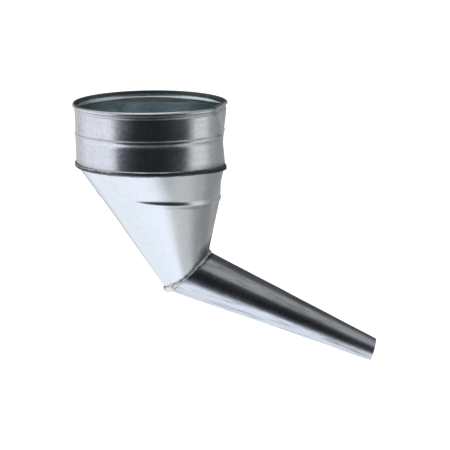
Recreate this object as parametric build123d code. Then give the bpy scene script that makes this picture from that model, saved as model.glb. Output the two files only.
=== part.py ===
from build123d import *
import os
from math import atan2, cos, degrees, radians, sin, sqrt

# An offset sheet-metal funnel: a D-shaped bowl band over a slanting cone, a long tapered spout
# soldered to the cone's foot, and a lift-out strainer with a folding bail.
# Millimetres. +Z is up, +X is the way the spout points, and the origin is on the bowl's axis
# in the plane of its rim.

# ---- sheet and wire ----
sheet = 0.6                 # thickness of the galvanised sheet
fold_gap = 0.1              # space left between two layers of a fold or a lap
moving_gap = 0.4            # space between the strainer and the funnel around it
wire_gap = 0.05             # space between a curl and the wire inside it

# ---- bowl band ----
bowl_radius = 100.0         # outside of the round part of the band
flat_depth = 5.0            # how far the flat panel lies inside the round
flat_turn = -16.0           # degrees from +X to the middle of the flat panel
corner_radius = 10.0        # outside corner between the flat panel and the round part
band_height = 83.0          # rim to the bottom of the band
rim_wire_radius = 1.45      # wire inside the rim
neck_depth = 0.9            # groove pressed in under the rim
neck_bottom = 9.0           # where the neck meets the plain wall, below the rim
mid_bead_drop = 40.0        # middle of the band's stiffening bead, below the rim
mid_bead_width = 10.5
mid_bead_height = 1.2

# ---- folded seam between band and cone ----
hem_reach = 1.3             # how far the band's foot flange stands out
hem_height = 5.6            # height of the cone's fold around that flange

# ---- slanting cone ----
cone_inset = 2.3            # top of the cone, inside the band's outer face
bead_centre_x = 10.7        # the cone's middle at its bead
bead_drop = 126.0           # the bead, below the rim
bead_radius = 81.6
bead_flat_depth = 4.0       # how far the cone's flat side lies inside the round, at the bead
bead_corner_radius = 16.0
bead_tilt = 3.5             # degrees the bead drops towards +X
bead_width = 8.0
bead_height = 0.9
collar_length = 5.0         # the cone's foot, inside the spout

# ---- spout ----
joint_x = 47.7              # where the spout's axis meets the plane of the joint
joint_z = -227.8
joint_tilt = 40.3           # degrees the joint's plane rises towards +X
spout_length = 273.7        # along the axis, from the joint to the outlet
spout_dip = 24.7            # degrees below the horizontal
spout_radius = 34.8         # outside, at the joint
outlet_radius = 14.8        # outside, at the outlet
outlet_cut = 8.7            # degrees the outlet is cut off square
solder_radius = 1.5         # run of solder round the joint

# ---- side seams and their solder ----
seam_angle = 100.0          # degrees from +X to the side seams of band and cone, at the back
seam_width = 7.0
seam_height = 1.2
seam_start = 2.0            # the cone's seam starts this far under the fold
seam_stop = 5.0             # and stops this far above the joint
seam_solder_width = 1.2
seam_solder_cover = 0.3     # the solder's height over the bead that it crosses
spout_seam_height = 0.6
spout_seam_angle = 120.0    # degrees round the spout from its top, towards the back
ring_solder_size = 1.6      # run of solder inside the bowl, over the folded seam

# ---- strainer ----
hoop_height = 8.0
hoop_sheet = 0.8
ledge_width = 5.0           # the hoop's ledge under the gauze
gauze_thickness = 0.5
clamp_thickness = 0.8
support_wire_radius = 1.0   # welded cross of wire under the gauze
ear_width = 8.0
ear_height = 13.0
ear_sheet = 1.0
hinge_gap = 0.08            # between the bail's wire and the holes of its ears
rivet_radius = 1.5
rivet_head_radius = 2.6
rivet_head_height = 0.8
bail_wire_radius = 1.25
bail_bend = 3.0             # where the bail's wire turns into its ears
bail_end = 2.0              # how far the bail's ends stand out past the ears

# ---- values that follow from the sizes above ----
flat_reach = bowl_radius - flat_depth
bead_flat_reach = bead_radius - bead_flat_depth
cone_rise = bead_drop - band_height
cone_spread = (bowl_radius - cone_inset - bead_radius) / cone_rise
cone_lean = -bead_centre_x / cone_rise
curl_radius = rim_wire_radius + wire_gap + sheet
curl_centre = (-sheet, -curl_radius)
spout_slope = (spout_radius - outlet_radius) / spout_length
joint_skew = 90 - joint_tilt - spout_dip
axis_x = cos(radians(spout_dip))
axis_z = -sin(radians(spout_dip))
outlet_x = joint_x + spout_length * axis_x
outlet_z = joint_z + spout_length * axis_z
ear_base = hoop_sheet + gauze_thickness + clamp_thickness
rivet_lift = ear_base + rivet_head_radius + fold_gap
hinge_lift = hoop_height + bail_wire_radius + moving_gap
hoop_radius = bead_radius - sheet - moving_gap
hoop_inside = hoop_radius - hoop_sheet
ear_outside = sqrt(hoop_inside ** 2 - (ear_width / 2) ** 2) - fold_gap


def plane_at(x, z, tilt):
    """A plane across the XZ plane at (x, z) that rises towards +X by tilt degrees."""
    turned = radians(tilt)
    return Plane((x, 0, z), x_dir=(cos(turned), 0, sin(turned)), z_dir=(-sin(turned), 0, cos(turned)))


joint_plane = plane_at(joint_x, joint_z, joint_tilt)
spout_plane = Plane((joint_x, 0, joint_z), x_dir=(0, 1, 0), z_dir=(axis_x, 0, axis_z))
seat_plane = plane_at(bead_centre_x, -bead_drop, -bead_tilt)


def d_points(radius, reach, corner):
    """The joints and middles of a D's four edges: flat panel, corner, round part, corner."""
    half = sqrt((radius - corner) ** 2 - (reach - corner) ** 2)
    turn = atan2(half, reach - corner)
    middle = (reach - corner + corner * cos(turn / 2), half + corner * sin(turn / 2))
    end = (radius * cos(turn), radius * sin(turn))
    return half, middle, end


def d_wire(radius, reach, corner):
    """A closed D in the XY plane, starting in the middle of its flat panel."""
    half, middle, end = d_points(radius, reach, corner)
    return Wire([
        Edge.make_line((reach, 0), (reach, half)),
        Edge.make_three_point_arc((reach, half), middle, end),
        Edge.make_three_point_arc(end, (-radius, 0), (end[0], -end[1])),
        Edge.make_three_point_arc((end[0], -end[1]), (middle[0], -middle[1]), (reach, -half)),
        Edge.make_line((reach, -half), (reach, 0)),
    ])


def largest(shape):
    """The biggest solid of a shape, without the crumbs that a cut leaves."""
    return max(shape.solids(), key=lambda piece: piece.volume)


def placed_d(plane, radius, reach, corner):
    """A D on the given plane, with its flat panel turned like the bowl's."""
    wire = d_wire(radius, reach, corner).rotate(Axis.Z, flat_turn)
    return plane.from_local_coords(wire)


def cone_cut(radius):
    """Where a taper as wide as radius at the joint meets the joint's plane: middle and half-axes."""
    skew = radians(joint_skew)
    far = radius / (cos(skew) + sin(skew) * spout_slope)
    near = radius / (cos(skew) - sin(skew) * spout_slope)
    shift = (far - near) / 2
    width = radius - shift * sin(skew) * spout_slope
    half_y = sqrt(width ** 2 - (shift * cos(skew)) ** 2)
    return shift, (far + near) / 2, half_y


def joint_wire(radius):
    """The oval of the joint, in five edges that face the five edges of a D."""
    shift, half_x, half_y = cone_cut(radius)
    half, middle, end = d_points(bead_radius, bead_flat_reach, bead_corner_radius)
    corner = degrees(atan2(half, bead_flat_reach))
    bend = degrees(atan2(end[1], end[0]))
    stops = [0, corner, bend, 360 - bend, 360 - corner, 360]

    def point(angle):
        turned = radians(angle + flat_turn)
        return shift + half_x * cos(turned), half_y * sin(turned)

    edges = []
    for first, last in zip(stops, stops[1:]):
        ellipse = Edge.make_ellipse(half_x, half_y, start_angle=first + flat_turn, end_angle=last + flat_turn)
        edges.append(ellipse.translate((shift, 0, 0)))
    return joint_plane.from_local_coords(Wire(edges))


def cone_solid(inset):
    """The body of the cone, filled, with every face moved in by inset."""
    top = Plane((0, 0, -band_height - fold_gap))
    top_inset = cone_inset + inset
    rings = [placed_d(top, bowl_radius - top_inset, flat_reach - top_inset, corner_radius - top_inset)]
    steps = [(1, 0), (0.5, 0.75), (0, 1), (-0.5, 0.75), (-1, 0)]
    for place, swell in steps:
        up = place * bead_width / 2
        grow = up * cone_spread + swell * bead_height - inset
        plane = plane_at(bead_centre_x + up * cone_lean, -bead_drop + up, -bead_tilt)
        corner = bead_corner_radius + grow
        rings.append(placed_d(plane, bead_radius + grow, bead_flat_reach + grow, corner))
    rings.append(joint_wire(spout_radius - sheet - fold_gap - inset))
    return Solid.make_loft(rings, ruled=True)


def taper(radius, start, length):
    """A filled taper along the spout's axis, as wide as radius at the joint."""
    plane = Plane(spout_plane.origin + spout_plane.z_dir * start, x_dir=spout_plane.x_dir, z_dir=spout_plane.z_dir)
    return Solid.make_cone(radius - start * spout_slope, radius - (start + length) * spout_slope, length, plane)


def band_profile():
    """The band's wall, cut across: curl, neck, plain wall, bead, foot flange."""
    bead_top = -mid_bead_drop + mid_bead_width / 2
    bead_foot = -mid_bead_drop - mid_bead_width / 2
    curl_bottom = -2 * curl_radius + sheet
    foot = -band_height
    outer = [
        Edge.make_line((-neck_depth, curl_bottom), (-neck_depth, curl_bottom - 1)),
        Edge.make_line((-neck_depth, curl_bottom - 1), (0, -neck_bottom)),
        Edge.make_line((0, -neck_bottom), (0, bead_top)),
        Edge.make_three_point_arc((0, bead_top), (mid_bead_height, -mid_bead_drop), (0, bead_foot)),
        Edge.make_line((0, bead_foot), (0, foot + sheet)),
        Edge.make_line((0, foot + sheet), (hem_reach, foot + sheet)),
        Edge.make_line((hem_reach, foot + sheet), (hem_reach, foot)),
        Edge.make_line((hem_reach, foot), (-sheet, foot)),
        Edge.make_line((-sheet, foot), (-sheet, bead_foot)),
        Edge.make_three_point_arc(
            (-sheet, bead_foot), (mid_bead_height - sheet, -mid_bead_drop), (-sheet, bead_top)
        ),
        Edge.make_line((-sheet, bead_top), (-sheet, -neck_bottom)),
        Edge.make_line((-sheet, -neck_bottom), (-neck_depth - sheet, curl_bottom - 1)),
        Edge.make_line((-neck_depth - sheet, curl_bottom - 1), (-neck_depth - sheet, curl_bottom)),
        Edge.make_line((-neck_depth - sheet, curl_bottom), (-neck_depth, curl_bottom)),
    ]
    wall = Sketch() + Face(Wire(outer))
    curl = Pos(*curl_centre) * (Circle(curl_radius) - Circle(curl_radius - sheet))
    mouth = Pos(*curl_centre) * Rot(0, 0, -55) * Pos(curl_radius, 0) * Rectangle(3 * sheet, 3 * fold_gap)
    return wall + (curl - mouth)


def around_bowl(profile):
    """Sweep a profile, drawn outward from the band's outer face, round the bowl."""
    start = Plane((flat_reach, 0, 0), x_dir=(1, 0, 0), z_dir=(0, -1, 0))
    path = d_wire(bowl_radius, flat_reach, corner_radius)
    swept = sweep(start * profile, path=path)
    return swept.rotate(Axis.Z, flat_turn)


def rib(start, start_out, end, end_out, width, height, sink):
    """A straight rib between two points, standing out from the surface along two directions."""
    run = (end - start).normalized()
    faces = []
    for point, out in ((start, start_out), (end, end_out)):
        side = run.cross(out).normalized()
        plane = Plane(point, x_dir=side, z_dir=run)
        rise = 1 if plane.y_dir.dot(out) > 0 else -1
        faces.append(plane * Pos(0, rise * (height - sink) / 2) * Rectangle(width, height + sink))
    return Solid.make_loft([face.wires()[0] for face in faces], ruled=True)


def band_seam_line():
    """The foot and top of the band's side seam, on the band's outer face, and the way out."""
    turned = radians(seam_angle)
    out = Vector(cos(turned), sin(turned), 0)
    low = out * bowl_radius + Vector(0, 0, -band_height + hem_height + fold_gap)
    high = out * bowl_radius + Vector(0, 0, -neck_bottom)
    return low, high, out


def bowl_band():
    wall = around_bowl(band_profile())
    low, high, out = band_seam_line()
    seam = rib(low, out, high, out, seam_width, seam_height, sheet / 2)
    return wall + seam


def band_seam_solder():
    low, high, out = band_seam_line()
    side = out.cross(Vector(0, 0, 1))
    shift = side * (seam_width + seam_solder_width) / 2
    height = mid_bead_height + seam_solder_cover
    strip = rib(low + shift, out, high + shift, out, seam_solder_width, height, sheet / 2)
    return largest(strip - bowl_band())


def rim_wire():
    return around_bowl(Pos(*curl_centre) * Circle(rim_wire_radius))


def bowl_seam_solder():
    """A run of solder inside the bowl that seals the folded seam."""
    corner = (-sheet, -band_height)
    size = ring_solder_size
    fillet = make_face(Polyline(corner, (corner[0] - size, corner[1]), (corner[0], corner[1] + size), close=True))
    return around_bowl(fillet)


def cone_hem():
    """The cone's flange, folded round the foot flange of the band."""
    low = -band_height - fold_gap
    out = hem_reach + fold_gap
    lip = sheet + fold_gap
    top = low + hem_height
    inner = -cone_inset - sheet - ring_solder_size
    under = Pos((inner + out + sheet) / 2, low - sheet / 2) * Rectangle(out + sheet - inner, sheet)
    side = Pos(out + sheet / 2, (low - sheet + top) / 2) * Rectangle(sheet, top - low + sheet)
    back = Pos((fold_gap + out + sheet) / 2, top - sheet / 2) * Rectangle(out + sheet - fold_gap, sheet)
    tuck = Pos(fold_gap + sheet / 2, (top + low + 2 * lip) / 2) * Rectangle(sheet, top - low - 2 * lip)
    return around_bowl(under + side + back + tuck)


def cone_seam_points():
    """The cone's side seam on its outer face, from the top down: points and the ways out."""
    turned = radians(seam_angle)
    shift, half_x, half_y = cone_cut(spout_radius - sheet - fold_gap)
    top = Plane((0, 0, -band_height - sheet - fold_gap))
    rims = [
        (top, 0, bowl_radius - cone_inset, bowl_radius - cone_inset),
        (seat_plane, 0, bead_radius, bead_radius),
        (joint_plane, shift, half_x, half_y),
    ]
    points = []
    for plane, middle, wide, deep in rims:
        spot = plane.from_local_coords(Vector(middle + wide * cos(turned), deep * sin(turned), 0))
        out = (plane.x_dir * cos(turned) + plane.y_dir * sin(turned)).normalized()
        points.append((spot, out))
    (high, high_out), middle, (low, low_out) = points
    high = high + (middle[0] - high).normalized() * seam_start
    low = low + (middle[0] - low).normalized() * seam_stop
    return [(high, high_out), middle, (low, low_out)]


def cone_rib(offset, width, height):
    """A rib along the cone's side seam, set off to one side of it."""
    spans = []
    points = cone_seam_points()
    for (start, start_out), (end, end_out) in zip(points, points[1:]):
        shift = (end - start).normalized().cross(start_out).normalized() * offset
        spans.append(rib(start + shift, start_out, end + shift, end_out, width, height, 3 * sheet))
    return spans[0] + spans[1]


def bowl_cone():
    shell = cone_solid(0) - cone_solid(sheet)
    lap = sheet + fold_gap
    collar = filled_spout(lap) - filled_spout(lap + sheet)
    collar = split(collar, bisect_by=joint_plane, keep=Keep.BOTTOM)
    end_plane = Plane(joint_plane.origin - joint_plane.z_dir * collar_length, z_dir=joint_plane.z_dir)
    collar = split(collar, bisect_by=end_plane, keep=Keep.TOP)
    hem = cone_hem() - cone_solid(sheet)
    seam = cone_rib(0, seam_width, seam_height) - cone_solid(sheet / 2)
    return shell + collar + hem + seam


def cone_seam_solder():
    beside = (seam_width + seam_solder_width) / 2
    strip = cone_rib(beside, seam_solder_width, bead_height + seam_solder_cover)
    return largest(strip - cone_solid(0) - bowl_cone())


def cut_to_spout(shape):
    """Keep what lies between the joint's plane and the outlet's cut."""
    outlet = plane_at(outlet_x, outlet_z, 90 - spout_dip + outlet_cut)
    below = split(shape, bisect_by=joint_plane, keep=Keep.BOTTOM)
    return split(below, bisect_by=outlet, keep=Keep.TOP)


def spout_seam_line():
    """The side seam of the spout, on its outer face, and the way out."""
    turned = radians(spout_seam_angle)
    up = spout_plane.z_dir.cross(spout_plane.x_dir)
    up = up if up.Z > 0 else up * -1
    out = (up * cos(turned) + Vector(0, 1, 0) * sin(turned)).normalized()
    first = 0.13 * spout_length
    last = 0.97 * spout_length
    start = spout_plane.origin + spout_plane.z_dir * first + out * (spout_radius - first * spout_slope)
    end = spout_plane.origin + spout_plane.z_dir * last + out * (spout_radius - last * spout_slope)
    return start, end, out


def filled_spout(inset=0):
    """The spout's taper, filled and longer at both ends, with its face moved in by inset."""
    return taper(spout_radius - inset, -spout_radius - inset, spout_length + 2 * spout_radius + 3 * inset)


def spout():
    tube = filled_spout() - filled_spout(sheet)
    start, end, out = spout_seam_line()
    seam = rib(start, out, end, out, seam_width, spout_seam_height, sheet / 2)
    return cut_to_spout(tube) + (seam - filled_spout(sheet / 2))


def spout_seam_solder():
    start, end, out = spout_seam_line()
    side = (end - start).normalized().cross(out).normalized()
    shift = side * (seam_width + seam_solder_width) / 2
    strip = rib(start + shift, out, end + shift, out, seam_solder_width, spout_seam_height, 2 * sheet)
    return largest(strip - filled_spout() - spout())


def spout_joint_solder():
    """The run of solder round the joint of cone and spout."""
    path = joint_wire(spout_radius - sheet / 2)
    start = path.position_at(0)
    section = Plane(start, x_dir=joint_plane.x_dir, z_dir=path.tangent_at(0))
    ring = sweep(section * Circle(solder_radius), path=path)
    return largest(ring - cut_to_spout(filled_spout()) - cone_solid(0) - bowl_cone())


# ---- strainer, drawn level with its seat at the origin and then set in place ----

def seated(shape):
    """Put a piece of the strainer, drawn about the origin, on its seat in the cone."""
    return seat_plane.from_local_coords(shape)


def hoop_d(inset):
    """A D that follows the hoop's outer face, moved in by inset."""
    gap = sheet + moving_gap + inset
    wire = d_wire(bead_radius - gap, bead_flat_reach - gap, bead_corner_radius - gap)
    return Face(wire).rotate(Axis.Z, flat_turn)


def d_ring(outer_inset, inner_inset, bottom, thickness):
    ring = hoop_d(outer_inset) - hoop_d(inner_inset)
    return extrude(ring.translate((0, 0, bottom)), thickness, dir=(0, 0, 1))


def across(lift, radius):
    """A rod along Y through both sides of the strainer."""
    plane = Plane((0, 0, lift), z_dir=(0, 1, 0))
    return plane * Cylinder(radius, 3 * bead_radius)


def local_hoop():
    wall = d_ring(0, hoop_sheet, 0, hoop_height)
    ledge = d_ring(0, hoop_sheet + ledge_width, 0, hoop_sheet)
    return wall + ledge - across(rivet_lift, rivet_radius)


def strainer_hoop():
    return seated(local_hoop())


def strainer_gauze():
    disc = hoop_d(hoop_sheet + fold_gap)
    return seated(extrude(disc.translate((0, 0, hoop_sheet)), gauze_thickness, dir=(0, 0, 1)))


def strainer_clamp_ring():
    base = hoop_sheet + gauze_thickness
    ring = d_ring(hoop_sheet + fold_gap, hoop_sheet + ledge_width, base, clamp_thickness)
    return seated(ring)


def gauze_support_cross():
    """Two wires welded into a cross and soldered under the hoop's ledge."""
    reach = hoop_inside - ledge_width / 2
    wires = []
    for turn in (flat_turn - 45, flat_turn + 45):
        along = (cos(radians(turn)), sin(radians(turn)), 0)
        plane = Plane((0, 0, -support_wire_radius), x_dir=(0, 0, 1), z_dir=along)
        wires.append(plane * Cylinder(support_wire_radius, 2 * reach))
    return seated(wires[0] + wires[1])


def local_ear(side):
    """An upright ear against the inside of the hoop; side is -1 for the front, 1 for the back."""
    tall = ear_height - ear_base
    body = Box(ear_width, ear_sheet, tall)
    body = fillet(body.edges().filter_by(Axis.Y).group_by(Axis.Z)[-1], ear_width / 2 - 0.1)
    body = Pos(0, side * (ear_outside - ear_sheet / 2), ear_base + tall / 2) * body
    return body - across(rivet_lift, rivet_radius) - across(hinge_lift, bail_wire_radius + hinge_gap)


def bail_ear_front():
    return seated(local_ear(-1))


def bail_ear_back():
    return seated(local_ear(1))


def ear_rivets():
    """A rivet through the hoop and each ear."""
    rivets = []
    inside = ear_outside - ear_sheet
    for side in (-1, 1):
        shank_length = hoop_radius - inside
        plane = Plane((0, side * inside, rivet_lift), z_dir=(0, side, 0))
        shank = plane * Pos(0, 0, shank_length / 2) * Cylinder(rivet_radius, shank_length)
        head = Cylinder(rivet_head_radius, rivet_head_height)
        outer = plane * Pos(0, 0, shank_length + rivet_head_height / 2) * head
        inner = plane * Pos(0, 0, -rivet_head_height / 2) * head
        rivets.append(shank + outer + inner)
    return seated(Compound(children=rivets))


def strainer_bail():
    """A folding wire handle, hinged in the ears and stored level on the hoop's edge."""
    tip = ear_outside + bail_end
    turn = ear_outside - ear_sheet - moving_gap
    arm = turn - bail_bend
    reach = hoop_radius - hoop_sheet / 2
    bow = Edge.make_ellipse(reach - bail_bend, arm, start_angle=90, end_angle=270)
    half_bend = bail_bend * (1 - sqrt(0.5))
    path = Wire([
        Edge.make_line((0, tip), (0, turn)),
        Edge.make_three_point_arc((0, turn), (-half_bend, arm + half_bend), (-bail_bend, arm)),
        bow.translate((-bail_bend, 0, 0)),
        Edge.make_three_point_arc((-bail_bend, -arm), (-half_bend, -arm - half_bend), (0, -turn)),
        Edge.make_line((0, -turn), (0, -tip)),
    ])
    section = Plane(path.position_at(0), z_dir=path.tangent_at(0)) * Circle(bail_wire_radius)
    return seated(Pos(0, 0, hinge_lift) * sweep(section, path=path))


parts = {
    "bowl_band": bowl_band,
    "rim_wire": rim_wire,
    "bowl_cone": bowl_cone,
    "spout": spout,
    "bowl_seam_solder": bowl_seam_solder,
    "band_seam_solder": band_seam_solder,
    "cone_seam_solder": cone_seam_solder,
    "spout_seam_solder": spout_seam_solder,
    "spout_joint_solder": spout_joint_solder,
    "strainer_hoop": strainer_hoop,
    "strainer_gauze": strainer_gauze,
    "strainer_clamp_ring": strainer_clamp_ring,
    "gauze_support_cross": gauze_support_cross,
    "bail_ear_front": bail_ear_front,
    "bail_ear_back": bail_ear_back,
    "ear_rivets": ear_rivets,
    "strainer_bail": strainer_bail,
}

os.makedirs("parts", exist_ok=True)
for node, make in parts.items():
    shape = make()
    print(node, round(shape.volume, 1), len(shape.solids()), shape.is_valid)
    export_step(shape, f"parts/{node}.step")
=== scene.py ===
# %% [markdown]
# An offset sheet-metal funnel, built around its CAD frame. The frame fixes every size and place;
# this script gives the sheet its folds, beads, dents and zinc skin, and lights it for a studio
# picture. Lengths are in metres, +Z is up, and the origin is on the bowl's axis in its rim plane.

# %% Load the frame
from math import atan2, cos, exp, hypot, pi, radians, sin, sqrt
import bmesh
import bpy
from mathutils import Matrix, Vector, noise


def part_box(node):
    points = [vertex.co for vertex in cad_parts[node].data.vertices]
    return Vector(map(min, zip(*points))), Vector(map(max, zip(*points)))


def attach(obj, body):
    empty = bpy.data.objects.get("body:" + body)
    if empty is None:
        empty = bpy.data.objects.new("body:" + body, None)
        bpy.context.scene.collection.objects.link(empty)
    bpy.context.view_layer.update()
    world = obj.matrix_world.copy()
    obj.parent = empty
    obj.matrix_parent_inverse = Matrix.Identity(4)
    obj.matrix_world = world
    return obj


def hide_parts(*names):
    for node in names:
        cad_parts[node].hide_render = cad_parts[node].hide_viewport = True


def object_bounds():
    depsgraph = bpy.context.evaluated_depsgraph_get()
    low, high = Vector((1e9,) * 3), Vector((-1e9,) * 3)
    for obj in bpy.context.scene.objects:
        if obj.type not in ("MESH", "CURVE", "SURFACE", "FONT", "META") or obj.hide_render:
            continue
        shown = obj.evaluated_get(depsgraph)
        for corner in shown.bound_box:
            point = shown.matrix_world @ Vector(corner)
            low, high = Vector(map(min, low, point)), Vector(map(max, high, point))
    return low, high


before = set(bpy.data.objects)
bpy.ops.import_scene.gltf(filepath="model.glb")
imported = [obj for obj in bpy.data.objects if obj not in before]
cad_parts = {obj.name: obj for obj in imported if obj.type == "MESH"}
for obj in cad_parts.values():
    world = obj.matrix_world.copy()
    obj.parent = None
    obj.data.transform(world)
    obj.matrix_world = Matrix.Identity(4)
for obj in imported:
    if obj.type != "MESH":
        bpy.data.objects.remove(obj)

scene = bpy.context.scene
mm = 0.001
bpy.context.view_layer.update()
cad_low, cad_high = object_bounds()
print("CAD box", [round(v, 4) for v in (*cad_low, *cad_high)])

# %% [markdown]
# The sizes come first. What a node's box can tell is read from the frame, so that the sheet
# pieces always meet the CAD pieces around them. The rest are the few sizes that a tinsmith
# would write on the drawing.

# %% Sizes of the bowl's band
band_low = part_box("bowl_band")[0]
cone_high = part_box("bowl_cone")[1]
sheet = 0.6 * mm
curl_reach = 1.5 * mm
bowl_radius = -band_low.x - curl_reach
bowl_face = bowl_radius - sheet
band_foot = band_low.z
flat_reach = 95 * mm
flat_turn = radians(-16)
corner_radius = 10 * mm
neck_depth = 0.85 * mm
neck_bottom = 10.5 * mm
bead_drop = 44.9 * mm
bead_width = 17.3 * mm
bead_height = 1.05 * mm
bead_lean = 2.42
hem_reach = cone_high.x - bowl_radius
around = 256
print("bowl radius", round(bowl_radius, 4), "band foot", round(band_foot, 4), "hem", round(hem_reach, 4))

# %% Sizes of the cone and the spout
seat_middle = Vector((10.7, 0, -126)) * mm
seat_radius = 81.6 * mm
seat_flat = 77.6 * mm
seat_corner = 16 * mm
seat_tilt = radians(-3.5)
cone_axis = 20 * mm
cone_bead_width = 12 * mm
cone_bead_height = 1.05 * mm
joint_middle = Vector((47.7, 0, -227.8)) * mm
joint_tilt = radians(40.3)
joint_tuck = 0.7 * mm
spout_dip = radians(24.7)
spout_length = 273.7 * mm
spout_radius = 34.8 * mm
outlet_radius = 14.8 * mm
outlet_cut = radians(8.7)
spout_slope = (spout_radius - outlet_radius) / spout_length
spout_way = Vector((cos(spout_dip), 0, -sin(spout_dip)))
spout_over = Vector((sin(spout_dip), 0, cos(spout_dip)))
joint_normal = Vector((-sin(joint_tilt), 0, cos(joint_tilt)))
joint_side = Vector((cos(joint_tilt), 0, sin(joint_tilt)))
print("spout ends at", [round(v, 4) for v in joint_middle + spout_way * spout_length])

# %% [markdown]
# Every piece goes through the same bench: a bmesh is shaped, its faces are turned outward, the
# edges that should stay crisp are marked, and the mesh is linked and set to ride on a body of
# the frame. Keeping this in one place means that no piece is forgotten.

# %% The bench: from bmesh to a piece on its body
crisp_angle = radians(38)


def crisp(bm):
    """Shade smooth, but keep the sharper edges as edges."""
    for face in bm.faces:
        face.smooth = True
    for edge in bm.edges:
        edge.smooth = len(edge.link_faces) == 2 and edge.calc_face_angle(0) < crisp_angle


def mark_inside(bm, middle):
    """Give the faces that look towards a middle line, found by a function, the second material."""
    for face in bm.faces:
        centre = face.calc_center_median()
        face.material_index = 1 if face.normal.dot(centre - middle(centre)) < 0 else 0


def finish_piece(bm, name, body, materials, replaced=()):
    """Write the bmesh to a named piece that rides on a body and stands for CAD nodes."""
    crisp(bm)
    mesh = bpy.data.meshes.new(name)
    bm.to_mesh(mesh)
    bm.free()
    for material in materials:
        mesh.materials.append(material)
    piece = bpy.data.objects.new(name, mesh)
    scene.collection.objects.link(piece)
    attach(piece, body)
    if replaced:
        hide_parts(*replaced)
    print(name, "has", len(mesh.polygons), "faces")


# %% [markdown]
# Most of the sheet starts as a cross-section: a few points joined by edges, which the spin
# operator turns round the bowl's axis, as a lathe or a pair of rollers would. The skin then gets
# its wall from solidify. Wires and runs of solder start as a flat grid that is rolled into a tube.

# %% Cross-sections, walls and tubes
def turned_sheet(bm, points, steps=around):
    """Spin a cross-section of (distance out, height) round the bowl's axis."""
    verts = [bm.verts.new((out, 0, up)) for out, up in points]
    edges = [bm.edges.new(pair) for pair in zip(verts, verts[1:])]
    bmesh.ops.spin(bm, geom=verts + edges, cent=(0, 0, 0), axis=(0, 0, 1), angle=2 * pi,
                   steps=steps, use_merge=True, use_duplicate=False)
    bmesh.ops.remove_doubles(bm, verts=bm.verts, dist=1e-7)


def thicken(bm, wall, outward):
    """Give a skin its wall. outward says whether the drawn skin is the outside of the sheet."""
    bmesh.ops.recalc_face_normals(bm, faces=bm.faces)
    level = Vector((1, 1, 0))
    lean = sum(f.normal.dot(f.calc_center_median() * level) * f.calc_area() for f in bm.faces)
    if (lean > 0) != outward:
        bmesh.ops.reverse_faces(bm, faces=bm.faces)
    bmesh.ops.solidify(bm, geom=bm.faces, thickness=wall)
    bmesh.ops.recalc_face_normals(bm, faces=bm.faces)


def arc(middle, radius, start, end, steps):
    """Points on an arc in a cross-section, angles in degrees."""
    turns = [radians(start + (end - start) * i / steps) for i in range(steps + 1)]
    return [(middle[0] + radius * cos(t), middle[1] + radius * sin(t)) for t in turns]


def rolled_tube(bm, place, steps, sides):
    """Roll a flat grid into a tube. place gives a point from a share of the length and a turn."""
    made = bmesh.ops.create_grid(bm, x_segments=steps, y_segments=sides, size=1)
    for vert in made["verts"]:
        vert.co = place((vert.co.x + 1) / 2, (vert.co.y + 1) * pi)
    bmesh.ops.remove_doubles(bm, verts=made["verts"], dist=1e-7)


def swell(place, width, height):
    """The rise of a smooth bead at a distance from its middle."""
    return height * (0.5 + 0.5 * cos(2 * pi * place / width)) if abs(place) < width / 2 else 0.0


def share_of(value):
    """A value held between nothing and one."""
    return min(1, max(0, value))


# %% [markdown]
# The bowl is rolled round and then one side is pressed flat, which is what makes its D shape.
# The same order works here: pieces are spun round, and then every vertex is pushed in by how
# far the D lies inside the circle at its angle. The round tool and the D share one centre, so
# beads and folds keep their cross-section.

# %% Press a round ring into a D
def d_radius(angle, radius, reach, corner):
    """Distance from the axis to the D, at an angle from the middle of its flat."""
    half = sqrt((radius - corner) ** 2 - (reach - corner) ** 2)
    turn = abs((angle + pi) % (2 * pi) - pi)
    if turn < atan2(half, reach):
        return reach / cos(turn)
    centre = hypot(reach - corner, half)
    bend = turn - atan2(half, reach - corner)
    if bend > 0:
        return radius
    return centre * cos(bend) + sqrt(corner ** 2 - (centre * sin(bend)) ** 2)


def facing(angle, middle, spread):
    """One on the side that faces a middle angle, fading smoothly round the bowl. In degrees."""
    return exp(-((angle - radians(middle)) / radians(spread)) ** 2)


# %% [markdown]
# No hand-made bowl is true. A corner was pushed in as the flat was pressed, the sheet is slack
# between its beads, the back of the neck was grooved deeper by the roller, and the rim flares a
# little at both ends. These few terms are what stop the reflections from looking drawn.

# %% What the hand left in the bowl
groove_level = -9.6 * mm


def hand_made(angle, height):
    """How far the band strays from the drawing: pushed corners, slack sheet, a slight taper."""
    depth = share_of(height / band_foot)
    near = facing(angle, -40 + 15 * depth, 10 + 12 * min(1, depth * 3)) * 2.7 * mm
    slack = noise.noise(Vector((cos(angle) * 2.2, sin(angle) * 2.2, height * 14))) * 0.5 * mm
    above = height - groove_level
    blur = 3.0 * mm if above > 0 else 1.3 * mm
    groove = exp(-(above / blur) ** 2) * min(1, 1.6 * max(0, sin(angle))) * 2.8 * mm
    top = share_of(1 + height / (16 * mm))
    left = top * (3 - 2 * top) * top * max(0, -cos(angle)) ** 3 * 2.6 * mm
    right = share_of(1.6 + height / (26 * mm)) * facing(angle, 0, 24) * 2.0 * mm
    return near + slack - groove + left + right - 0.9 * mm * depth


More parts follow.
